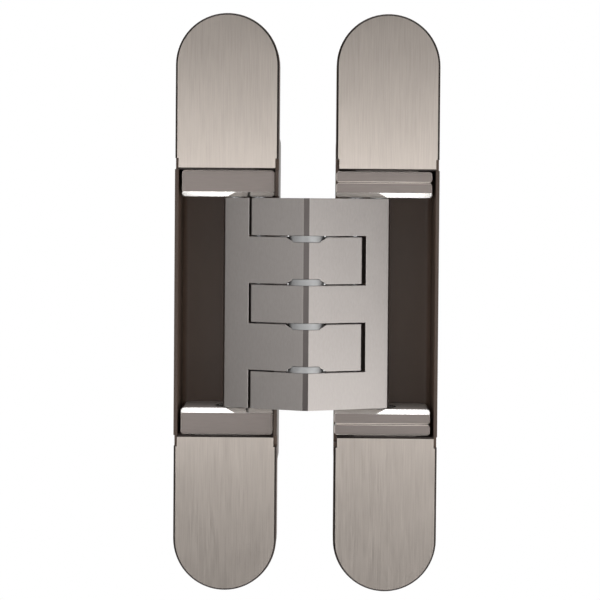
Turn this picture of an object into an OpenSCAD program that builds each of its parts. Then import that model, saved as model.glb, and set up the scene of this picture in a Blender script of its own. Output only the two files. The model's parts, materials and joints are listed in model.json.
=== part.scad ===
// Concealed three-way adjustable door hinge, standing open at 180 degrees.
// +Z runs up the hinge, -Y points out of the face plates, +X runs from the frame side to the door side.
// The origin is the centre of the frame housing, on the shoulder plane that seats in the mortise.
// Inside the modules Y is the depth behind the face, and at_face() moves it to the origin above.
// The door side is the mirror image of the frame side, so its modules are drawn on the frame side first.

/* [Housings] */
// Length of each face plate
plate_l = 134; // [130:0.5:150]
// Width of each face plate and diameter of its round ends
plate_w = 24; // [23.6:0.1:27]
// Distance between the centre lines of the two plates at 180 degrees
centre_distance = 37.2; // [36.6:0.1:38.4]
// Depth of the end sections behind the face
end_t = 13; // [12.5:0.5:18]
// Depth of the middle section behind the face
body_t = 28; // [25.5:0.5:36]
// Wall between the deepest pocket and each end of the deep middle section
end_wall = 2.7; // [1.5:0.1:6]
// Corner radius of the deep middle section
body_corner_r = 5; // [1:0.5:9]
// Depth of the cavity that the arms fold into
cavity_t = 22; // [21.6:0.1:24]
// Thickness of the thin side walls of the cavity
side_wall = 0.8; // [0.5:0.05:0.9]
// Radius along the back corners of the cavity
cavity_r = 1.6; // [0.5:0.1:3]
// Depth to which the opening side wall is cut away for the arms
wall_cut = 9.4; // [9.2:0.1:12]
// Chamfer round the back edges
back_chamfer = 0.8; // [0.2:0.1:1.5]

/* [Covers] */
// Thickness of each cover plate
cover_t = 1.3; // [1:0.05:1.4]
// Chamfer round the front edge of a cover
cover_chamfer = 0.4; // [0.1:0.05:0.6]
// How far a cover's edge stays inside the edge of its housing
cover_inset = 0.1; // [0.05:0.05:0.3]
// Length of the lifting notches at the inner corners of a cover
notch_l = 2.6; // [1:0.1:4]
// Width of the lifting notches
notch_w = 0.7; // [0.3:0.1:1.2]
// Depth of the lifting notches behind the face
notch_t = 4; // [2:0.1:6]
// Radius of the snap pegs on the back of a cover
peg_r = 1; // [0.7:0.05:1.2]
// Length of the snap pegs
peg_l = 1.6; // [1:0.1:2.5]
// Radial clearance of a peg in its hole
peg_clearance = 0.05; // [0.02:0.01:0.1]

/* [Fixing holes] */
// Distance of the outer fixing holes from the ends of the plate
fixing_end = 6; // [5.6:0.1:6.2]
// Distance between the two fixing holes of an end section
fixing_pitch = 8.7; // [8:0.1:9.2]
// Radius of the fixing holes
fixing_r = 2.3; // [1.8:0.1:2.6]
// Radius of the countersinks
countersink_r = 4.1; // [3.4:0.1:4.2]

/* [Linkage] */
// Gap between the two faces when the hinge is shut
closed_gap = 4; // [3.6:0.1:4.4]
// Height of the centre pin in front of the faces when open
centre_rise = 3.8; // [3.5:0.1:4.2]
// Sideways place of the centre pin in the cavity when shut
centre_closed_x = -5.5; // [-6.2:0.1:-5.2]
// Depth of each fixed pivot behind the face
pivot_depth = 7.5; // [7:0.1:8]
// Sideways place of each slide pin when open
slide_open_x = 1.9; // [1.6:0.1:2.2]
// Depth of each slide pin when open
slide_open_depth = 5.3; // [5:0.1:5.6]
// Radius of the fixed pivot pins
pivot_pin_r = 2; // [1.6:0.05:2.1]
// Radius of the centre pin
centre_pin_r = 2; // [1.6:0.05:2.2]
// Radius of the slide pins
slide_pin_r = 1.5; // [1.2:0.05:1.6]
// Outer radius of the bushes that run in the curved slots
bush_r = 2; // [1.9:0.05:2.2]
// Radial running clearance of pins and bushes
running_clearance = 0.05; // [0.02:0.01:0.09]

/* [Arms] */
// Height of the stack of knuckles
arm_h = 48.7; // [42:0.1:54]
// Height of the knuckles of the two-finger arm
wide_knuckle_h = 10.75; // [8:0.05:11.5]
// Gap between neighbouring knuckles
knuckle_gap = 0.35; // [0.2:0.05:0.5]
// Radius of the arms round the centre pin
knuckle_r = 3.8; // [3.5:0.05:4]
// Slope of the outer facets of the arms
facet_slope = 30; // [29:0.5:31]
// Width of the flat along the ridge
ridge_w = 1.3; // [0.5:0.1:1.6]
// Radius of the finger ends round the fixed pivots
pivot_boss_r = 2.9; // [2.6:0.05:2.95]
// Radius of the spines round the slide pins
slide_boss_r = 2.7; // [2.4:0.05:2.75]
// Distance from the ridge to the corner where the fingers turn down
finger_reach = 12.75; // [12.6:0.05:12.9]
// Distance from the ridge to the outer edge of each spine
spine_reach = 19; // [18.9:0.05:19.3]
// Gap between the finger ends and the spine of the two-finger arm
frame_spine_gap = 0.6; // [0.5:0.05:0.7]
// Gap between the finger ends and the spine of the three-finger arm
door_spine_gap = 1; // [0.5:0.05:1.1]
// Distance from the axis of the spine to its inner side at the waist
waist = 2.1; // [1.8:0.05:2.15]
// Distance of the waist from the slide pin
waist_place = 4; // [3.5:0.1:5]
// How far the inner face of a spine slants from its front edge to its pin
spine_slant = 1.1; // [1:0.05:1.3]
// Outer radius of the washers between the knuckles
washer_r = 4.05; // [3.8:0.05:4.4]
// Depth of the washer recesses in the knuckles
recess_t = 1.15; // [1:0.05:1.6]
// Flare round the mouth of each washer recess
recess_flare = 0.9; // [0.2:0.1:1]
// Clearance of a washer in its recess, all round
washer_clearance = 0.05; // [0.03:0.01:0.1]
// Distance of the lands on the narrow knuckles from the washers beside them
land_gap = 0.3; // [0.2:0.05:0.5]
// Width of those lands along the knuckles
land_w = 2.8; // [2:0.1:3]
// Depth of those lands from front to back
land_l = 4.4; // [3:0.1:5]
// Distance of the lands' front from the centre pin, backwards
land_place = 0.4; // [0.2:0.1:1]
// Clearance between the lands and the wide knuckles
land_clearance = 0.1; // [0.05:0.01:0.15]

/* [Blocks and plates] */
// Clearance between the knuckle stack and the blocks
arm_end_gap = 0.25; // [0.1:0.05:0.4]
// Height of a frame block
frame_block_h = 6.1; // [5.8:0.1:6.2]
// Height of a bearing plate on the door side
bearing_plate_h = 3.4; // [3.2:0.05:3.5]
// Height of a guide plate on the door side
guide_plate_h = 2.45; // [2:0.05:2.5]
// Gap between a bearing plate and its guide plate
plate_gap = 0.15; // [0.1:0.05:0.2]
// Depth of the block and plate fronts behind the face
block_recess = 1.5; // [1.45:0.05:1.6]
// Polished chamfer along the cavity edge of blocks and bearing plates
block_chamfer = 1.1; // [0.5:0.05:1.15]
// Corner radius of blocks and plates
block_corner_r = 0.7; // [0.3:0.05:1]
// Bevel along the front edges of blocks and plates
block_bevel = 0.15; // [0.1:0.05:0.4]
// Running clearance of blocks and plates in their housing
block_clearance = 0.15; // [0.1:0.05:0.2]
// Depth of a guide plate's front part
guide_plate_t = 6.5; // [6:0.1:6.7]
// Depth of the blind slots and pin holes in the frame blocks
socket_t = 3.6; // [3.5:0.1:4]
// How far the ends of the pins and bushes stay short of the socket floor
pin_end_gap = 0.4; // [0.2:0.1:0.6]

/* [Adjustment] */
// Sideways travel of the frame blocks away from the opening side
lateral_travel_in = 0.7; // [0.2:0.05:0.75]
// Sideways travel of the frame blocks towards the opening side
lateral_travel_out = 0.1; // [0:0.05:0.1]
// Height travel of the door housing each way
height_travel = 2; // [0.5:0.1:2]
// Depth travel of the door housing each way
depth_travel = 1; // [0.3:0.1:1]
// Width of the tongues that reach under the covers
tongue_w = 14.4; // [14:0.1:14.6]
// Thickness of the tongues
tongue_t = 2.8; // [2:0.1:3]
// Depth of the tongues' front behind the face
tongue_depth = 3.4; // [3.35:0.05:3.8]
// Length of a frame block's tongue
frame_tongue_l = 13.5; // [12.5:0.1:14]
// Length of a guide plate's tongue
guide_tongue_l = 14.2; // [13.5:0.1:14.4]
// Clearance round a tongue in its pocket
pocket_clearance = 0.3; // [0.2:0.05:0.4]
// Distance of the clamp screws from the inner faces of the blocks
clamp_place = 13.7; // [13.4:0.1:14]
// Sideways place of the door side clamp screws from the centre line
door_clamp_x = -3.5; // [-3.7:0.1:-3.4]
// Radius of a clamp screw's shank
clamp_r = 2; // [1.5:0.1:2]
// Radius of a clamp screw's head
clamp_head_r = 3.1; // [2.8:0.1:3.2]
// Length of a clamp screw's shank
clamp_l = 9; // [7:0.5:9.5]
// Distance of the depth screws from the inner faces of the blocks
depth_screw_place = 9.6; // [9.4:0.1:9.9]
// Sideways place of the depth screws from the centre line
depth_screw_x = 3.7; // [3.6:0.1:3.8]
// Radius of a depth screw's shank
depth_screw_r = 1.5; // [1.2:0.1:1.6]
// Radius of a depth screw's head
depth_head_r = 2.6; // [2.3:0.1:2.7]
// Length of a depth screw's shank
depth_screw_l = 11.6; // [11:0.1:12]
// Height of the screw heads
screw_head_t = 1.65; // [1.4:0.05:1.75]
// Half the distance across the corners of the hexagon sockets
socket_r = 1.4; // [1:0.1:1.6]
// Depth of the hexagon sockets
hex_t = 1.1; // [0.6:0.1:1.2]
// Outer radius of the clips that hold the depth screws
clip_r = 2.5; // [2.2:0.05:2.6]
// Thickness of the clips
clip_t = 0.6; // [0.5:0.05:0.8]
// Depth of the front of a bearing plate's threaded foot
foot_depth = 9.4; // [9.35:0.05:9.6]
// Thickness of a foot
foot_t = 4.6; // [3.5:0.1:4.8]
// Width of a foot
foot_w = 6.2; // [5.6:0.1:6.4]
// Length of a foot beyond its bearing plate
foot_l = 9; // [8.6:0.1:9.2]

/* [Hidden] */
$fn = 64;

// Overshoot of a cutting shape beyond the face that it cuts
eps = 0.5;
// How far the straight sides of an arm run inside the round bosses that they meet
seam = 0.02;
plate_r = plate_w / 2;
mid_x = centre_distance / 2;
cavity_x = plate_r - side_wall;
round_z = plate_l / 2 - plate_r;
fixing_z_outer = plate_l / 2 - fixing_end;
fixing_z_inner = fixing_z_outer - fixing_pitch;

// Height of the three-finger arm's knuckles, and the lower end of each of the five levels
narrow_knuckle_h = (arm_h - 2 * wide_knuckle_h - 4 * knuckle_gap) / 3;
level_pitch = narrow_knuckle_h + wide_knuckle_h + 2 * knuckle_gap;
function narrow_z(i) = -arm_h / 2 + i * level_pitch;
function wide_z(i) = narrow_z(i) + narrow_knuckle_h + knuckle_gap;

// Linkage: the fixed pivot is as far from the centre pin shut as open
centre_open = [mid_x, -centre_rise];
centre_closed = [centre_closed_x, -closed_gap / 2];
pivot_x = (centre_open * centre_open - centre_closed * centre_closed
           + 2 * pivot_depth * (centre_closed.y - centre_open.y)) / (2 * (mid_x - centre_closed_x));
pivot = [pivot_x, pivot_depth];
slide_open = [slide_open_x, slide_open_depth];
pivot_arm = norm(centre_open - pivot);
slide_arm = norm(centre_open - slide_open);

// Angles of the arms: folding turns the arm on the fixed pivot by fold_angle, and the other by slide_turn
function direction(v) = atan2(v.y, v.x);
open_angle = direction(centre_open - pivot);
fold_angle = open_angle - direction(centre_closed - pivot);
full_fold = fold_angle < 0 ? fold_angle + 360 : fold_angle;
slide_turn = 180 - full_fold;
slide_angle = direction(slide_open - centre_open);

// Place of the centre pin, and of the slide pin, at the share s of the fold
function arm_angle(s) = open_angle - s * full_fold;
function centre_at(s) = pivot + pivot_arm * [cos(arm_angle(s)), sin(arm_angle(s))];
function slide_at(s) = centre_at(s) + slide_arm
    * [cos(slide_angle - s * slide_turn), sin(slide_angle - s * slide_turn)];

// Outline helpers: depth of the outer facet at x, and the outer tangent of two circles
ridge_top = -centre_rise - (knuckle_r + seam) / cos(facet_slope);
function facet(x) = ridge_top + abs(mid_x - x) * tan(facet_slope);
function tangent_angle(a, ra, b, rb, side) = direction(b - a) + side * acos((ra - rb) / norm(b - a));
function on_circle(c, r, angle) = c + r * [cos(angle), sin(angle)];
function tangent(a, ra, b, rb, side) = [
    on_circle(a, ra, tangent_angle(a, ra, b, rb, side)),
    on_circle(b, rb, tangent_angle(a, ra, b, rb, side))];

// Heights of what is stacked above the arms
block_z = arm_h / 2 + arm_end_gap;
frame_block_top_z = block_z + frame_block_h;
bearing_top_z = block_z + bearing_plate_h;
guide_z = bearing_top_z + plate_gap;
guide_top_z = guide_z + guide_plate_h;
frame_cavity_z = frame_block_top_z + block_clearance;
door_cavity_z = guide_top_z + height_travel + block_clearance;
frame_cut_z = block_z + block_clearance;
cover_z = max(frame_block_top_z, guide_top_z) + block_clearance;
foot_pocket_z = bearing_top_z + foot_l + height_travel + pocket_clearance;
body_z = max(frame_cavity_z, foot_pocket_z) + end_wall;
clamp_z = block_z + clamp_place;
depth_screw_z = block_z + depth_screw_place;

// Sideways ends of blocks and plates, and the depth to which they may reach over the cut wall
frame_block_x = [-cavity_x + lateral_travel_in + block_clearance / 2,
                 cavity_x - lateral_travel_out - block_clearance / 2];
door_plate_x = [-cavity_x + lateral_travel_in + block_clearance, plate_r - block_clearance];
door_plate_inner_x = cavity_x - block_clearance;
shoulder_depth = wall_cut - depth_travel - block_clearance;
block_back = cavity_t - block_clearance;
bearing_back = cavity_t - depth_travel - block_clearance;
tongue_back = tongue_depth + tongue_t;
pin_end_z = block_z + socket_t - pin_end_gap;
bearing_pin_z = bearing_top_z - plate_gap;

module at_face() {
    translate([0, -end_t, 0]) children();
}

module door_side() {
    translate([centre_distance, 0, 0]) mirror([1, 0, 0]) children();
}

module bottom_half() {
    mirror([0, 0, 1]) children();
}

// Shape drawn in X and Z, with its thickness from depth d0 to depth d1
module slab(d0, d1) {
    translate([0, d1, 0]) rotate([90, 0, 0]) linear_extrude(d1 - d0) children();
}

// Shape drawn in X and depth, from height z0 to height z1
module prism(z0, z1) {
    translate([0, 0, z0]) linear_extrude(z1 - z0) children();
}

// Shape drawn in depth and Z, from x0 to x1
module beam(x0, x1) {
    translate([x0, 0, 0]) rotate([90, 0, 90]) linear_extrude(x1 - x0) children();
}

// Round bar along the depth, from d0 to d1
module depth_bar(x, z, r, d0, d1) {
    translate([x, d1, z]) rotate([90, 0, 0]) cylinder(r = r, h = d1 - d0);
}

// Half outline of a plate with a chamfer at the front and one at the back, for a revolve
function half_section(r, d0, d1, front, back) = [
    [0, d0], [r - front, d0], [r, d0 + front], [r, d1 - back], [r - back, d1], [0, d1]];

function full_section(r, d0, d1, front, back) = [
    [-r + front, d0], [r - front, d0], [r, d0 + front], [r, d1 - back],
    [r - back, d1], [-r + back, d1], [-r, d1 - back], [-r, d0 + front]];

// Plate with a round end of radius r centred at height round_z
module round_end(r, d0, d1, front, back) {
    translate([0, 0, round_z]) rotate([-90, 0, 0])
        rotate_extrude() polygon(half_section(r, d0, d1, front, back));
}

module rounded_rect(x0, x1, z0, z1, r) {
    translate([x0 + r, z0]) square([x1 - x0 - 2 * r, z1 - z0]);
    translate([x0, z0 + r]) square([x1 - x0, z1 - z0 - 2 * r]);
    for (x = [x0 + r, x1 - r], z = [z0 + r, z1 - r]) translate([x, z]) circle(r);
}

// Cavity in plan: straight sides with round back corners
module cavity_section() {
    translate([-cavity_x, -eps]) square([2 * cavity_x, cavity_t - cavity_r + eps]);
    translate([-cavity_x + cavity_r, 0]) square([2 * (cavity_x - cavity_r), cavity_t]);
    for (s = [-1, 1]) translate([s * (cavity_x - cavity_r), cavity_t - cavity_r]) circle(cavity_r);
}

// Pocket under a cover for a tongue
module tongue_pocket(z_end) {
    slab(cover_t - eps, tongue_back + pocket_clearance)
        rounded_rect(-tongue_w / 2 - pocket_clearance - lateral_travel_in,
                     tongue_w / 2 + pocket_clearance, 0, z_end + pocket_clearance, 2);
}

module fixing_hole(z) {
    depth_bar(0, z, fixing_r, -eps, end_t + eps);
    translate([0, cover_t, z]) rotate([-90, 0, 0]) rotate_extrude()
        polygon([[0, -eps], [countersink_r, -eps], [countersink_r, 0],
                 [fixing_r, countersink_r - fixing_r], [0, countersink_r - fixing_r]]);
}

peg_x = plate_r - 2.7;
peg_places = [[peg_x, cover_z + 4.3], [peg_x, (fixing_z_inner + fixing_z_outer) / 2 - 3]];
function peg_x_at(i) = i == 0 ? peg_x : peg_x - 0.6;

module peg_set(r, d0, d1) {
    for (s = [-1, 1], i = [0, 1]) depth_bar(s * peg_x_at(i), peg_places[i][1], r, d0, d1);
}

// Dark outer housing of one side, drawn for the frame side
module housing_solid() {
    for (top = [0, 1]) mirror([0, 0, top]) round_end(plate_r, cover_t, end_t, 0, back_chamfer);
    prism(-round_z, round_z) polygon(full_section(plate_r, cover_t, end_t, 0, back_chamfer));
    prism(-cover_z, cover_z) translate([-plate_r, 0]) square([plate_w, end_t / 2]);
    intersection() {
        slab(end_t / 2, body_t) rounded_rect(-plate_r, plate_r, -body_z, body_z, body_corner_r);
        prism(-body_z, body_z) polygon(full_section(plate_r, 0, body_t, 0, back_chamfer));
    }
}

module housing(cavity_z, cut_z, pocket_z, clamp_x) {
    difference() {
        housing_solid();
        prism(-cavity_z, cavity_z) cavity_section();
        prism(-cut_z, cut_z) translate([cavity_x - eps, -eps]) square([side_wall + 2 * eps, wall_cut + eps]);
        for (top = [0, 1]) mirror([0, 0, top]) {
            for (side = [0, 1]) mirror([side, 0, 0]) prism(cover_z, cover_z + notch_l)
                translate([plate_r - cover_inset - notch_w - block_clearance, 0]) square([plate_w, notch_t]);
            tongue_pocket(pocket_z);
            for (z = [fixing_z_inner, fixing_z_outer]) fixing_hole(z);
            peg_set(peg_r + peg_clearance, 0, cover_t + peg_l + eps);
            depth_bar(clamp_x, clamp_z, clamp_r, 0, tongue_depth + clamp_l + eps);
        }
    }
}

module frame_housing() {
    color("#3a332e") at_face()
        housing(frame_cavity_z, frame_cut_z, frame_block_top_z + frame_tongue_l, 0);
}

module door_housing() {
    color("#3a332e") at_face() door_side() difference() {
        housing(door_cavity_z, door_cavity_z, guide_top_z + guide_tongue_l + height_travel, door_clamp_x);
        for (top = [0, 1]) mirror([0, 0, top])
            slab(tongue_back, foot_depth + foot_t + depth_travel + pocket_clearance)
                translate([depth_screw_x - foot_w / 2 - pocket_clearance, 0])
                square([foot_w + 2 * pocket_clearance, foot_pocket_z]);
    }
}

// Snap cover over one end section
module cover() {
    r = plate_r - cover_inset;
    difference() {
        union() {
            round_end(r, 0, cover_t, cover_chamfer, 0);
            prism(cover_z, round_z) polygon(full_section(r, 0, cover_t, cover_chamfer, 0));
            peg_set(peg_r, cover_t - cover_chamfer, cover_t + peg_l);
        }
        for (s = [-1, 1]) translate([s * r, cover_t / 2, cover_z])
            cube([2 * notch_w, cover_t + eps, 2 * notch_l], center = true);
        translate([0, 0, cover_z]) rotate([45, 0, 0])
            cube([plate_w + eps, cover_chamfer * sqrt(2), cover_chamfer * sqrt(2)], center = true);
    }
}

module frame_cover_top() {
    color("#b4aaa2") at_face() cover();
}

module frame_cover_bottom() {
    color("#b4aaa2") at_face() bottom_half() cover();
}

module door_cover_top() {
    color("#b4aaa2") at_face() door_side() cover();
}

module door_cover_bottom() {
    color("#b4aaa2") at_face() door_side() bottom_half() cover();
}

// Curved slot that the slide bush follows while the hinge folds
slot_steps = 24;
slot_r = bush_r + running_clearance;
function slot_normal(s) =
    let (d = slide_at(s + 0.01) - slide_at(s - 0.01)) [-d.y, d.x] / norm(d);
slot_left = [for (i = [0 : slot_steps]) slide_at(i / slot_steps) + slot_r * slot_normal(i / slot_steps)];
slot_right = [for (i = [slot_steps : -1 : 0])
    slide_at(i / slot_steps) - slot_r * slot_normal(i / slot_steps)];

module slot_section() {
    polygon(concat(slot_left, slot_right));
    for (s = [0, 1]) translate(slide_at(s)) circle(slot_r);
}

// Chamfer along the cavity edge at height z
module cavity_chamfer(z) {
    translate([0, block_recess, z]) rotate([45, 0, 0])
        cube([2 * plate_w, block_chamfer * sqrt(2), block_chamfer * sqrt(2)], center = true);
}

// Block from x0 to x1 and z0 to z1 with bevelled front edges and chamfered back corners
module block_body(x0, x1, z0, z1, back) {
    front = block_recess;
    intersection() {
        slab(front, back) rounded_rect(x0, x1, z0, z1, block_corner_r);
        prism(z0 - eps, z1 + eps)
            polygon([[x0 + block_bevel, front], [x1 - block_bevel, front], [x1, front + block_bevel],
                     [x1, back - cavity_r], [x1 - cavity_r, back], [x0 + cavity_r, back],
                     [x0, back - cavity_r], [x0, front + block_bevel]]);
        beam(x0 - eps, x1 + eps)
            polygon([[front, z0 + block_bevel], [front + block_bevel, z0], [back, z0], [back, z1],
                     [front + block_bevel, z1], [front, z1 - block_bevel]]);
    }
}

module frame_block() {
    tongue_end = frame_block_top_z + frame_tongue_l;
    difference() {
        union() {
            block_body(frame_block_x[0], frame_block_x[1], block_z, frame_block_top_z, block_back);
            slab(tongue_depth, tongue_back)
                rounded_rect(-tongue_w / 2, tongue_w / 2, block_z + 2, tongue_end, 2);
        }
        prism(block_z - eps, block_z + socket_t) slot_section();
        translate([pivot.x, pivot.y, block_z - eps]) cylinder(r = pivot_pin_r, h = socket_t + eps);
        cavity_chamfer(block_z);
        slab(0, tongue_back + eps) {
            for (x = [-lateral_travel_out, lateral_travel_in])
                translate([x, clamp_z]) circle(clamp_r + pocket_clearance / 2);
            translate([-lateral_travel_out, clamp_z - clamp_r - pocket_clearance / 2])
                square([lateral_travel_in + lateral_travel_out, 2 * clamp_r + pocket_clearance]);
        }
    }
}

module frame_block_top() {
    color("#8b8580") at_face() frame_block();
}

module frame_block_bottom() {
    color("#8b8580") at_face() bottom_half() frame_block();
}

// Inner plate of the door side: carries the pivot pin and the curved slot
module bearing_plate() {
    difference() {
        union() {
            block_body(door_plate_x[0], door_plate_x[1], block_z, bearing_top_z, shoulder_depth);
            block_body(door_plate_x[0], door_plate_inner_x, block_z, bearing_top_z, bearing_back);
            slab(foot_depth, foot_depth + foot_t)
                translate([depth_screw_x - foot_w / 2, block_z + bearing_plate_h / 2])
                square([foot_w, bearing_plate_h / 2 + foot_l]);
        }
        prism(block_z - eps, bearing_top_z + eps) slot_section();
        translate([pivot.x, pivot.y, block_z - eps])
            cylinder(r = pivot_pin_r, h = bearing_plate_h + 2 * eps);
        cavity_chamfer(block_z);
        depth_bar(depth_screw_x, depth_screw_z, depth_screw_r + running_clearance, foot_depth - eps,
                  foot_depth + foot_t + eps);
    }
}

// Outer plate of the door side: clamped to the housing, and set in height by its slot
module guide_plate() {
    tongue_end = guide_top_z + guide_tongue_l;
    slot_half = clamp_r + pocket_clearance / 2;
    difference() {
        union() {
            block_body(door_plate_x[0], door_plate_x[1], guide_z, guide_top_z,
                       block_recess + guide_plate_t);
            slab(tongue_depth, tongue_back)
                rounded_rect(-tongue_w / 2, tongue_w / 2, guide_z, tongue_end, 2);
        }
        slab(0, tongue_back + eps) {
            for (s = [-1, 1]) translate([door_clamp_x, clamp_z + s * height_travel]) circle(slot_half);
            translate([door_clamp_x - slot_half, clamp_z - height_travel])
                square([2 * slot_half, 2 * height_travel]);
        }
        depth_bar(depth_screw_x, depth_screw_z, depth_screw_r + running_clearance, 0, tongue_back + eps);
    }
}

module door_bearing_plate_top() {
    color("#8b8580") at_face() door_side() bearing_plate();
}

module door_bearing_plate_bottom() {
    color("#8b8580") at_face() door_side() bottom_half() bearing_plate();
}

module door_guide_plate_top() {
    color("#8b8580") at_face() door_side() guide_plate();
}

module door_guide_plate_bottom() {
    color("#8b8580") at_face() door_side() bottom_half() guide_plate();
}

// Socket screw along the depth, with its head under the cover
module socket_screw(x, z, r, head_r, l) {
    difference() {
        union() {
            depth_bar(x, z, head_r, tongue_depth - screw_head_t, tongue_depth);
            depth_bar(x, z, r, tongue_depth - screw_head_t / 2, tongue_depth + l);
        }
        translate([x, tongue_depth - screw_head_t + hex_t, z]) rotate([90, 0, 0])
            cylinder(r = socket_r, h = hex_t + eps, $fn = 6);
    }
}

module clamp_screw(x) {
    socket_screw(x, clamp_z, clamp_r, clamp_head_r, clamp_l);
}

module depth_screw() {
    socket_screw(depth_screw_x, depth_screw_z, depth_screw_r, depth_head_r, depth_screw_l);
}

module screw_clip() {
    clip_depth = tongue_back + running_clearance;
    difference() {
        depth_bar(depth_screw_x, depth_screw_z, clip_r, clip_depth, clip_depth + clip_t);
        depth_bar(depth_screw_x, depth_screw_z, depth_screw_r, clip_depth - eps, clip_depth + clip_t + eps);
    }
}

module frame_clamp_screw_top() {
    color("#c8c8c8") at_face() clamp_screw(0);
}

module frame_clamp_screw_bottom() {
    color("#c8c8c8") at_face() bottom_half() clamp_screw(0);
}

module door_clamp_screw_top() {
    color("#c8c8c8") at_face() door_side() clamp_screw(door_clamp_x);
}

module door_clamp_screw_bottom() {
    color("#c8c8c8") at_face() door_side() bottom_half() clamp_screw(door_clamp_x);
}

module door_depth_screw_top() {
    color("#c8c8c8") at_face() door_side() depth_screw();
}

module door_depth_screw_bottom() {
    color("#c8c8c8") at_face() door_side() bottom_half() depth_screw();
}

module door_screw_clip_top() {
    color("#c8c8c8") at_face() door_side() screw_clip();
}

module door_screw_clip_bottom() {
    color("#c8c8c8") at_face() door_side() bottom_half() screw_clip();
}

// Finger side of an arm in plan: from the ridge down one facet and round the fixed pivot
finger_corner = [mid_x - finger_reach, facet(mid_x - finger_reach)];
ridge_edge = [mid_x - ridge_w / 2, facet(mid_x - ridge_w / 2)];

module finger_section() {
    outer = tangent(finger_corner, 0, pivot, pivot_boss_r - seam, 1);
    inner = tangent(pivot, pivot_boss_r - seam, centre_open, knuckle_r - seam, 1);
    polygon([[mid_x, ridge_edge.y], ridge_edge, finger_corner, outer[1], pivot, inner[0], inner[1],
             centre_open]);
    translate(pivot) circle(pivot_boss_r);
    translate(centre_open) circle(knuckle_r);
}

// Spine side of an arm in plan: from the ridge to the spine and round the slide pin
spine_end = [mid_x - spine_reach, facet(mid_x - spine_reach)];
slide_dir = (slide_open - centre_open) / slide_arm;
slide_in = [slide_dir.y, -slide_dir.x] * (slide_dir.x < 0 ? -1 : 1);

module spine_side_section() {
    inward = slide_in.y < 0 ? -slide_in : slide_in;
    polygon([[mid_x, ridge_edge.y], ridge_edge, spine_end, [spine_end.x, slide_open.y], slide_open,
             slide_open + inward * (slide_boss_r - seam),
             slide_open - slide_dir * waist_place + inward * waist,
             centre_open + inward * (knuckle_r - seam), centre_open]);
    translate(slide_open) circle(slide_boss_r);
    translate(centre_open) circle(knuckle_r);
}

// The full height part of that side, beyond the gap to the other arm's fingers
module spine_section(gap) {
    edge_x = mid_x - finger_reach - gap;
    edge = [edge_x, facet(edge_x)];
    inner = [edge_x - spine_slant, slide_open.y];
    beyond = edge + eps * (edge - inner) / norm(edge - inner);
    intersection() {
        spine_side_section();
        polygon([[inner.x, cavity_t], inner, beyond, [beyond.x, 2 * ridge_top], [-plate_w, 2 * ridge_top],
                 [-plate_w, cavity_t]]);
    }
}

module across() {
    translate([centre_distance, 0]) mirror([1, 0]) children();
}

module pin_hole(place, r) {
    translate([place.x, place.y, -plate_l / 2]) cylinder(r = r, h = plate_l);
}

function across_point(p) = [centre_distance - p.x, p.y];

// Raised lands of a narrow knuckle on both sides of the washers, which close the gaps to view
land_h = knuckle_gap - land_clearance;

module lands(z0, z1) {
    land_x = washer_r + washer_clearance + land_gap;
    prism(z0, z1) translate(centre_open) for (x = [-land_x - land_w, land_x])
        translate([x, land_place]) square([land_w, land_l]);
}

module three_finger_arm() {
    color("#a7a19c") at_face() difference() {
        union() {
            for (i = [0 : 2]) prism(narrow_z(i), narrow_z(i) + narrow_knuckle_h) {
                finger_section();
                across() spine_side_section();
            }
            for (i = [0, 1]) lands(wide_z(i) - knuckle_gap - eps, wide_z(i) - land_clearance);
            for (i = [1, 2]) lands(narrow_z(i) - land_h, narrow_z(i) + eps);
            prism(-arm_h / 2, arm_h / 2) across() spine_section(door_spine_gap);
        }
        pin_hole(pivot, pivot_pin_r + running_clearance);
        pin_hole(centre_open, centre_pin_r);
        pin_hole(across_point(slide_open), slide_pin_r);
    }
}

// Recess for a washer in the lower face of a knuckle, with a flared mouth
module washer_recess() {
    r = washer_r + washer_clearance;
    translate([centre_open.x, centre_open.y, -eps]) {
        cylinder(r = r, h = recess_t + eps);
        cylinder(r1 = r + recess_flare + eps, r2 = r, h = recess_flare + eps);
    }
}

module two_finger_arm() {
    color("#a7a19c") at_face() difference() {
        union() {
            for (i = [0, 1]) prism(wide_z(i), wide_z(i) + wide_knuckle_h) {
                across() finger_section();
                spine_side_section();
            }
            prism(-arm_h / 2, arm_h / 2) spine_section(frame_spine_gap);
        }
        pin_hole(across_point(pivot), pivot_pin_r + running_clearance);
        pin_hole(centre_open, centre_pin_r + running_clearance);
        pin_hole(slide_open, slide_pin_r);
        for (i = [0, 1]) {
            translate([0, 0, wide_z(i)]) washer_recess();
            translate([0, 0, wide_z(i) + wide_knuckle_h]) mirror([0, 0, 1]) washer_recess();
        }
    }
}

// Washer at one end of a wide knuckle: side 0 is its lower end, side 1 its upper end
module centre_washer(i, side) {
    washer_t = recess_t + knuckle_gap - 2 * washer_clearance;
    z = side == 0 ? wide_z(i) - knuckle_gap + washer_clearance
                  : wide_z(i) + wide_knuckle_h - recess_t + washer_clearance;
    color("#d5d8da") at_face() translate([centre_open.x, centre_open.y, z]) difference() {
        cylinder(r = washer_r, h = washer_t);
        translate([0, 0, -eps]) cylinder(r = centre_pin_r + washer_clearance, h = washer_t + 2 * eps);
    }
}

module centre_washer_1() {
    centre_washer(1, 1);
}

module centre_washer_2() {
    centre_washer(1, 0);
}

module centre_washer_3() {
    centre_washer(0, 1);
}

module centre_washer_4() {
    centre_washer(0, 0);
}

module pin(place, r, half_l) {
    color("#c8c8c8") at_face() translate([place.x, place.y, -half_l]) cylinder(r = r, h = 2 * half_l);
}

module centre_pin() {
    pin(centre_open, centre_pin_r, arm_h / 2 - arm_end_gap);
}

module frame_pivot_pin() {
    pin(pivot, pivot_pin_r, pin_end_z);
}

module door_pivot_pin() {
    pin(across_point(pivot), pivot_pin_r, bearing_pin_z);
}

module frame_slide_pin() {
    pin(slide_open, slide_pin_r, bearing_pin_z);
}

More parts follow.
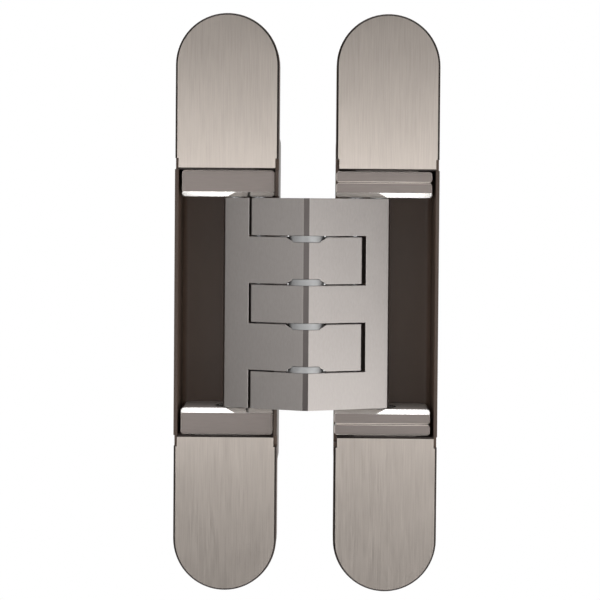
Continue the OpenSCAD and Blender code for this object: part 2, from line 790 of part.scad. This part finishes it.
module door_slide_pin() {
    pin(across_point(slide_open), slide_pin_r, bearing_pin_z);
}

// Bush on the end of a slide pin, inside the curved slot
module slide_bush() {
    color("#e4e2dc") at_face() translate([slide_open.x, slide_open.y, arm_h / 2 + arm_end_gap / 2])
        difference() {
            cylinder(r = bush_r, h = bearing_pin_z - arm_h / 2 - arm_end_gap / 2);
            translate([0, 0, -eps])
                cylinder(r = slide_pin_r + running_clearance / 2, h = bearing_plate_h + 2 * eps);
        }
}

module frame_slide_bush_top() {
    slide_bush();
}

module frame_slide_bush_bottom() {
    bottom_half() slide_bush();
}

module door_slide_bush_top() {
    door_side() slide_bush();
}

module door_slide_bush_bottom() {
    door_side() bottom_half() slide_bush();
}

frame_housing();
frame_cover_top();
frame_cover_bottom();
frame_block_top();
frame_block_bottom();
frame_pivot_pin();
frame_clamp_screw_top();
frame_clamp_screw_bottom();
three_finger_arm();
two_finger_arm();
centre_pin();
centre_washer_1();
centre_washer_2();
centre_washer_3();
centre_washer_4();
frame_slide_pin();
frame_slide_bush_top();
frame_slide_bush_bottom();
door_slide_pin();
door_slide_bush_top();
door_slide_bush_bottom();
door_pivot_pin();
door_bearing_plate_top();
door_bearing_plate_bottom();
door_guide_plate_top();
door_guide_plate_bottom();
door_clamp_screw_top();
door_clamp_screw_bottom();
door_depth_screw_top();
door_depth_screw_bottom();
door_screw_clip_top();
door_screw_clip_bottom();
door_housing();
door_cover_top();
door_cover_bottom();
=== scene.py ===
import json
import math

import bpy
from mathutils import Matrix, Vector


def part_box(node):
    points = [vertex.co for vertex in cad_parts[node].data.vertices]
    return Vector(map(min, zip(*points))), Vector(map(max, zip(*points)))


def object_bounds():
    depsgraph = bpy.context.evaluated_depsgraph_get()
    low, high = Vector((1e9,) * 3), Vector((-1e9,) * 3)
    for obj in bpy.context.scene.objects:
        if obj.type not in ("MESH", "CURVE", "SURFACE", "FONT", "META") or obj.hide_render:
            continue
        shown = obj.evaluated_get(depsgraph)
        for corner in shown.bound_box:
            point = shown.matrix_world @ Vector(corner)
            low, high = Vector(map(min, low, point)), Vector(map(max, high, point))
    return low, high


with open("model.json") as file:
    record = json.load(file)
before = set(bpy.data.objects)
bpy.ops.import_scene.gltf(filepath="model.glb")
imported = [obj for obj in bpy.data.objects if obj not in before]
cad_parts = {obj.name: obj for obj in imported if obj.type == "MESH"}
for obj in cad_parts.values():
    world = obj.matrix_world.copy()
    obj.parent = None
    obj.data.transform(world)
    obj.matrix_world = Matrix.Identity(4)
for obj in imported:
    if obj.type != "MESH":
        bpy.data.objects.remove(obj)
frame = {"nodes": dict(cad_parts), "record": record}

# Concealed hinge: finishes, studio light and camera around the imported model. Lengths are in metres,
# powers in watts, and colours are linear.
MM = 0.001
cad_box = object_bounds()

# The photograph's camera: its place, the point that it looks at, and its roll
FACE_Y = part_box("frame_cover_top")[0].y
CAMERA_DISTANCE = 600 * MM
CAMERA_OFFSET = Vector((4.4 * MM, 0, 24 * MM))
AIM_OFFSET = Vector((-1.45 * MM, 0, 0.78 * MM))
CAMERA_ROLL = math.radians(0.45)
VIEW_WIDTH = 138.85 * MM
SENSOR_WIDTH = 36
CLIP_START = 10 * MM

# Floor. It glows more for the camera than for reflections, so that it shows as white and the metal
# that reflects it doesn't.
FLOOR_DROP = 400 * MM
FLOOR_SIZE = 1.2
FLOOR_COLOUR = (0.8, 0.8, 0.8)
FLOOR_ROUGHNESS = 0.9
FLOOR_GLOW = 0.55
FLOOR_GLOSS = 0.35

# Surroundings: white for the camera, an even fill for matt surfaces, and for reflections a grey room
# in front, which turns white as a direction's Y goes through ROOM_EDGE
WHITE = (1, 1, 1, 1)
BACKGROUND = 1.0
WORLD_FILL = 0.5
ROOM_GREY = 0.1
ROOM_EDGE = (-0.45, -0.05)

LAMPS = {
    # name: (place from the hinge's middle, width, height, power)
    "strip": ((0.0, -0.40, 0.0), 0.30, 0.04, 0.128),
    "low_strip": ((0.08, -0.40, -0.12), 0.40, 0.05, 0.024),
    "right_front": ((0.27, -0.40, 0.0), 0.40, 0.18, 0.45),
    "left_front": ((-0.27, -0.40, 0.0), 0.40, 0.18, 0.46),
    "low_right": ((0.38, -0.22, -0.22), 0.40, 0.40, 1.03),
    "upper_front": ((0.0, -0.50, 0.42), 0.80, 0.45, 0.8),
    "lower_front": ((0.0, -0.50, -0.42), 0.80, 0.45, 0.8),
    "overhead": ((0.0, -0.1, 0.5), 0.50, 0.40, 0.8),
    "below": ((0.0, -0.06, -0.36), 0.50, 0.12, 0.42),
}

# Colours of the finishes
NICKEL = (0.436, 0.388, 0.350)
COVER_EDGE = (0.04, 0.034, 0.032)
ARM_METAL = (0.33, 0.305, 0.29)
# Painted dark reflection: the arms' ridge flat is painted darker than the arm metal, for the dark
# surroundings that it reflects
RIDGE_PAINTED_REFLECTION = (0.105, 0.093, 0.089)
BLOCK_METAL = (0.235, 0.205, 0.19)
# Painted highlight: the blocks' bevels are painted bright and matt, for the light that they catch
BEVEL_PAINTED_HIGHLIGHT = (0.92, 0.87, 0.83)
POLISHED = (0.96, 0.95, 0.93)
# Painted light: the blocks' end faces towards the cavity are painted paler, for the light that falls
# on them
PAINTED_LIGHT_INNER_FACE = (0.70, 0.65, 0.62)
DARK_PAINT = (0.118, 0.080, 0.060)
# Painted shade: the housings' flat front rims are painted darker than the rest of the paint
RIM_PAINTED_SHADE = (0.055, 0.037, 0.028)
WASHER_METAL = (0.37, 0.37, 0.37)
BUSH_PLASTIC = (0.74, 0.73, 0.69)
STEEL = (0.50, 0.50, 0.51)
ZINC_PLATE = (0.52, 0.52, 0.50)

# Edges that the shaders soften
EDGE_RADIUS = 0.12 * MM
ARM_EDGE = 0.22 * MM
BEVEL_SAMPLES = 4

# Noise. Most of its values lie within NOISE_SPAN. Its stretch is the number of its features in a
# metre along X, Y and Z.
NOISE_SPAN = (0.25, 0.75)
NOISE_ROUGHNESS = 0.6
SLOW_TONE = (60, 60, 45)
SLOW_SHARE = 0.3
BRUSHED_SPREAD = 0.15
TURNED_RINGS = (500, 500, 6000)
TURNED_DEPTH = 0.004 * MM
TURNED_SPREAD = 0.2
PAINT_TONE = (120, 120, 60)
PAINT_ROUGHNESS = (0.38, 0.47)
PAINT_GLOSS = 0.3
ORANGE_PEEL = (1400, 1400, 1400)
PEEL_DEPTH = 0.006 * MM

# Limits of a face's normal. Y is below the first three on the flat fronts of covers and blocks, on
# the arms' ridge and on the housings' rims. It is below BEVEL_BACK on a bevel. Z is past END_FACE, up
# or down, on an end face.
FLAT_FRONT = -0.95
FLAT_RIDGE = -0.97
FLAT_RIM = -0.9
BEVEL_BACK = -0.3
END_FACE = 0.9
# The blocks' faces up to this height, above and below the middle, look into the cavity; their end
# faces there are painted paler as painted light
INNER_FACE_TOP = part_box("frame_block_top")[0].z + 1.2 * MM
# The housings' rims, which are painted darker as painted shade, reach back to this place
RIM_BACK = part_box("frame_housing")[0].y + 0.3 * MM

# Numbers of a Mix node's two input sockets and of its output, for each kind of value
MIX_SOCKETS = {"FLOAT": (2, 3, 0), "RGBA": (6, 7, 2)}
# Spacing of the nodes on the shader editor's page
COLUMN = 200
ROW = 250


def feed(tree, value, target):
    """Links a socket to the target, or sets a plain value on it."""
    if isinstance(value, bpy.types.NodeSocket):
        tree.links.new(value, target)
    else:
        target.default_value = value


def add(tree, kind, **settings):
    """A node of a tree. A setting that isn't a property of the node feeds the input of that name."""
    node = tree.nodes.new(kind)
    for name, value in settings.items():
        if hasattr(node, name):
            setattr(node, name, value)
        else:
            feed(tree, value, node.inputs[name.replace("_", " ")])
    return node


def maths(tree, operation, *values):
    """The result of a Math node."""
    node = add(tree, "ShaderNodeMath", operation=operation)
    for value, target in zip(values, node.inputs):
        feed(tree, value, target)
    return node.outputs[0]


def mix(tree, kind, factor, first, second):
    """The first value where the factor is 0, and the second where it is 1."""
    first_socket, second_socket, result = MIX_SOCKETS[kind]
    node = add(tree, "ShaderNodeMix", data_type=kind)
    feed(tree, factor, node.inputs[0])
    feed(tree, first, node.inputs[first_socket])
    feed(tree, second, node.inputs[second_socket])
    return node.outputs[result]


def components(tree, coordinates):
    """X, Y and Z of the Texture Coordinate node's output of that name."""
    source = add(tree, "ShaderNodeTexCoord")
    return add(tree, "ShaderNodeSeparateXYZ", Vector=source.outputs[coordinates]).outputs


def arrange(tree):
    """Lays the nodes out in columns, from the output to the left."""
    columns = {node.name: 0 for node in tree.nodes}
    for _ in tree.nodes:
        for link in tree.links:
            source, target = link.from_node.name, link.to_node.name
            columns[source] = max(columns[source], columns[target] + 1)
    filled = {}
    for node in tree.nodes:
        column = columns[node.name]
        node.location = (-COLUMN * column, -ROW * filled.get(column, 0))
        filled[column] = filled.get(column, 0) + 1


def new_material(name, colour, metallic, roughness):
    """A material with its plain values set on the shader's own sockets."""
    material = bpy.data.materials.new(name)
    material.use_nodes = True
    material.diffuse_color = (*colour, 1)
    shader = material.node_tree.nodes["Principled BSDF"]
    shader.inputs["Base Color"].default_value = (*colour, 1)
    shader.inputs["Metallic"].default_value = metallic
    shader.inputs["Roughness"].default_value = roughness
    return material, material.node_tree, shader


def noise(tree, stretch, detail=3.0):
    """Noise with about as many features in a metre along each axis as stretch says."""
    place = add(tree, "ShaderNodeTexCoord").outputs["Object"]
    stretched = add(tree, "ShaderNodeMapping", Vector=place, Scale=stretch).outputs["Vector"]
    texture = add(tree, "ShaderNodeTexNoise", Vector=stretched, Scale=1.0, Detail=detail,
                  Roughness=NOISE_ROUGHNESS)
    return texture.outputs["Fac"]


def around(value, spread):
    """The value lowered and raised by the share spread of it."""
    return value * (1 - spread), value * (1 + spread)


def shade(tree, factor, colour, spread):
    """The colour, from darker to lighter by the share spread, over the noise's span."""
    ramp = add(tree, "ShaderNodeValToRGB", Fac=factor)
    stops = zip(ramp.color_ramp.elements, NOISE_SPAN, around(1, spread))
    for stop, position, tone in stops:
        stop.position = position
        stop.color = (*[c * tone for c in colour], 1)
    return ramp.outputs["Color"]


def spread_over(tree, factor, low, high):
    """A number that goes from low to high over the noise's span."""
    start, end = NOISE_SPAN
    span = add(tree, "ShaderNodeMapRange", Value=factor, From_Min=start, From_Max=end,
               To_Min=low, To_Max=high)
    return span.outputs["Result"]


def relief(tree, shader, height, depth, edge=EDGE_RADIUS):
    """Bump of a height over softened edges."""
    bevel = add(tree, "ShaderNodeBevel", samples=BEVEL_SAMPLES, Radius=edge)
    bump = add(tree, "ShaderNodeBump", Distance=depth, Height=height, Normal=bevel.outputs["Normal"])
    feed(tree, bump.outputs["Normal"], shader.inputs["Normal"])


def overlay(tree, shader, mask, colour, roughness):
    """Another colour and roughness where the mask is 1."""
    rows = (("Base Color", "RGBA", (*colour, 1)), ("Roughness", "FLOAT", roughness))
    for name, kind, value in rows:
        below = shader.inputs[name].links[0].from_socket
        feed(tree, mix(tree, kind, mask, below, value), shader.inputs[name])


def brushed(name, colour, roughness, lines, spread, depth, edge=EDGE_RADIUS):
    """Metal with fine brush lines, stretched as lines says, and a slow change of tone."""
    material, tree, shader = new_material(name, colour, metallic=1.0, roughness=roughness)
    fine = noise(tree, lines)
    slow = noise(tree, SLOW_TONE, detail=2.0)
    tone = mix(tree, "FLOAT", SLOW_SHARE, fine, slow)
    feed(tree, shade(tree, tone, colour, spread), shader.inputs["Base Color"])
    gloss = spread_over(tree, fine, *around(roughness, BRUSHED_SPREAD))
    feed(tree, gloss, shader.inputs["Roughness"])
    relief(tree, shader, fine, depth, edge)
    return material, tree, shader


def cover_finish():
    """Nickel brushed along the cover, darker on its edges and side faces."""
    material, tree, shader = brushed("brushed_nickel", NICKEL, roughness=0.36, lines=(5200, 900, 130),
                                     spread=0.13, depth=0.012 * MM)
    shader.inputs["Anisotropic"].default_value = 0.8
    along = add(tree, "ShaderNodeTangent", direction_type="RADIAL", axis="Z")
    feed(tree, along.outputs["Tangent"], shader.inputs["Tangent"])
    edge = maths(tree, "GREATER_THAN", components(tree, "Normal")["Y"], FLAT_FRONT)
    overlay(tree, shader, edge, COVER_EDGE, roughness=0.45)
    return material


def arm_finish():
    """Satin facets, with a smoother flat along the ridge that is painted darker as a painted dark
    reflection.
    """
    material, tree, shader = brushed("satin_arm_metal", ARM_METAL, roughness=0.34,
                                     lines=(3000, 3000, 900), spread=0.08, depth=0.006 * MM,
                                     edge=ARM_EDGE)
    # The flat along the ridge gets a painted dark reflection
    ridge = maths(tree, "LESS_THAN", components(tree, "Normal")["Y"], FLAT_RIDGE)
    overlay(tree, shader, ridge, RIDGE_PAINTED_REFLECTION, roughness=0.3)
    return material


def block_finish():
    """Satin fronts, with bevels painted bright and without grain as a painted highlight, and end faces
    towards the cavity painted paler as painted light.
    """
    material, tree, shader = brushed("satin_block_metal", BLOCK_METAL, roughness=0.38,
                                     lines=(300, 900, 3200), spread=0.08, depth=0.008 * MM)
    normal = components(tree, "Normal")
    bevel = maths(tree, "MULTIPLY", maths(tree, "GREATER_THAN", normal["Y"], FLAT_FRONT),
                  maths(tree, "LESS_THAN", normal["Y"], BEVEL_BACK))
    end = maths(tree, "GREATER_THAN", maths(tree, "ABSOLUTE", normal["Z"]), END_FACE)
    height = maths(tree, "ABSOLUTE", components(tree, "Object")["Z"])
    inner = maths(tree, "LESS_THAN", height, INNER_FACE_TOP)
    # Painted highlight: every bevel is painted bright
    overlay(tree, shader, bevel, BEVEL_PAINTED_HIGHLIGHT, roughness=0.9)
    overlay(tree, shader, maths(tree, "MULTIPLY", bevel, inner), POLISHED, roughness=0.22)
    # Painted light: the end faces towards the cavity are painted paler
    overlay(tree, shader, maths(tree, "MULTIPLY", end, inner), PAINTED_LIGHT_INNER_FACE, roughness=0.7)
    feed(tree, maths(tree, "SUBTRACT", 1.0, bevel), tree.nodes["Bump"].inputs["Strength"])
    return material


def painted_finish():
    """Dark satin paint with a fine orange peel; the flat front rims are painted darker as painted
    shade.
    """
    material, tree, shader = new_material("dark_satin_paint", DARK_PAINT, metallic=0.0, roughness=0.42)
    shader.inputs["Specular IOR Level"].default_value = PAINT_GLOSS
    slow = noise(tree, PAINT_TONE)
    feed(tree, shade(tree, slow, DARK_PAINT, spread=0.08), shader.inputs["Base Color"])
    feed(tree, spread_over(tree, slow, *PAINT_ROUGHNESS), shader.inputs["Roughness"])
    relief(tree, shader, noise(tree, ORANGE_PEEL, detail=2.0), PEEL_DEPTH)
    # Painted shade on the flat front rims
    flat = maths(tree, "LESS_THAN", components(tree, "Normal")["Y"], FLAT_RIM)
    front = maths(tree, "LESS_THAN", components(tree, "Object")["Y"], RIM_BACK)
    overlay(tree, shader, maths(tree, "MULTIPLY", flat, front), RIM_PAINTED_SHADE, roughness=0.5)
    return material


def turned_finish(name, colour, roughness, metallic=1.0, lines=TURNED_RINGS, spread=0.05):
    """Turned, drawn or moulded surface, with a fine grain stretched as lines says."""
    material, tree, shader = new_material(name, colour, metallic, roughness)
    grain = noise(tree, lines)
    feed(tree, shade(tree, grain, colour, spread), shader.inputs["Base Color"])
    gloss = spread_over(tree, grain, *around(roughness, TURNED_SPREAD))
    feed(tree, gloss, shader.inputs["Roughness"])
    relief(tree, shader, grain, TURNED_DEPTH)
    return material


def dress_nodes():
    """Gives each CAD node the material of its slot."""
    finishes = {
        "housing": painted_finish(),
        "cover": cover_finish(),
        "arm": arm_finish(),
        "block": block_finish(),
        "washer": turned_finish("satin_washer", WASHER_METAL, roughness=0.55, lines=(700, 700, 700),
                                spread=0.03),
        "bush": turned_finish("bush_plastic", BUSH_PLASTIC, roughness=0.45, metallic=0.0, spread=0.03),
        "pin": turned_finish("ground_steel_pin", STEEL, roughness=0.22),
        "screw": turned_finish("zinc_plated_screw", ZINC_PLATE, roughness=0.3, lines=(800, 5000, 800)),
    }
    for material in finishes.values():
        arrange(material.node_tree)
    for part in frame["record"]["subparts"]:
        node = frame["nodes"][part["node"]]
        for place in node.material_slots:
            place.link = "OBJECT"
            place.material = finishes[part["material_slot"]]


def by_ray(tree, camera, gloss, rest):
    """A strength for the camera's rays, one for those of gloss and glass, and one for the rest."""
    rays = add(tree, "ShaderNodeLightPath").outputs
    mirrored = maths(tree, "MAXIMUM", rays["Is Glossy Ray"], rays["Is Transmission Ray"])
    unseen = mix(tree, "FLOAT", mirrored, rest, gloss)
    return mix(tree, "FLOAT", rays["Is Camera Ray"], unseen, camera)


def make_floor(centre):
    """A wide pale floor below the hinge, which shows as white."""
    bpy.ops.mesh.primitive_plane_add(size=FLOOR_SIZE)
    floor = bpy.context.object
    floor.name = "floor"
    floor.location = (centre.x, centre.y, cad_box[0].z - FLOOR_DROP)
    material, tree, shader = new_material("pale_floor", FLOOR_COLOUR, metallic=0.0,
                                          roughness=FLOOR_ROUGHNESS)
    shader.inputs["Emission Color"].default_value = WHITE
    feed(tree, by_ray(tree, FLOOR_GLOW, FLOOR_GLOSS, rest=0.0), shader.inputs["Emission Strength"])
    arrange(tree)
    floor.data.materials.append(material)


def make_world():
    """The surroundings that the camera, reflections and matt surfaces see."""
    world = bpy.data.worlds.new("studio")
    bpy.context.scene.world = world
    world.use_nodes = True
    tree = world.node_tree
    background = tree.nodes["Background"]
    background.inputs["Color"].default_value = WHITE
    start, end = ROOM_EDGE
    room = add(tree, "ShaderNodeMapRange", Value=components(tree, "Generated")["Y"], From_Min=start,
               From_Max=end, To_Min=ROOM_GREY, To_Max=BACKGROUND)
    seen = by_ray(tree, BACKGROUND, room.outputs["Result"], WORLD_FILL)
    feed(tree, seen, background.inputs["Strength"])
    arrange(tree)


def scene_object(name, data):
    """An object of the scene that holds the data."""
    holder = bpy.data.objects.new(name, data)
    bpy.context.scene.collection.objects.link(holder)
    return holder


def make_lamp(name, place, width, height, power, centre):
    """A rectangular soft lamp that faces the hinge."""
    data = bpy.data.lights.new(name, "AREA")
    data.shape = "RECTANGLE"
    data.size = width
    data.size_y = height
    data.energy = power
    lamp = scene_object(name, data)
    lamp.location = centre + Vector(place)
    lamp.rotation_mode = "QUATERNION"
    lamp.rotation_quaternion = (-Vector(place)).to_track_quat("-Z", "Y")


def make_camera(centre):
    """The photograph's view: straight on from slightly above the middle, with a small roll."""
    data = bpy.data.cameras.new("camera")
    data.sensor_width = SENSOR_WIDTH
    data.lens = SENSOR_WIDTH * CAMERA_DISTANCE / VIEW_WIDTH
    data.clip_start = CLIP_START
    camera = scene_object("camera", data)
    face = Vector((centre.x, FACE_Y, centre.z))
    camera.location = face + CAMERA_OFFSET + Vector((0, -CAMERA_DISTANCE, 0))
    look = face + AIM_OFFSET - camera.location
    camera.rotation_euler = look.to_track_quat("-Z", "Y").to_euler()
    camera.rotation_euler.rotate_axis("Z", CAMERA_ROLL)
    bpy.context.scene.camera = camera


middle = (cad_box[0] + cad_box[1]) / 2
make_camera(middle)
dress_nodes()
make_floor(middle)
make_world()
for name, values in LAMPS.items():
    make_lamp(name, *values, middle)
bpy.context.scene.view_settings.view_transform = "Standard"
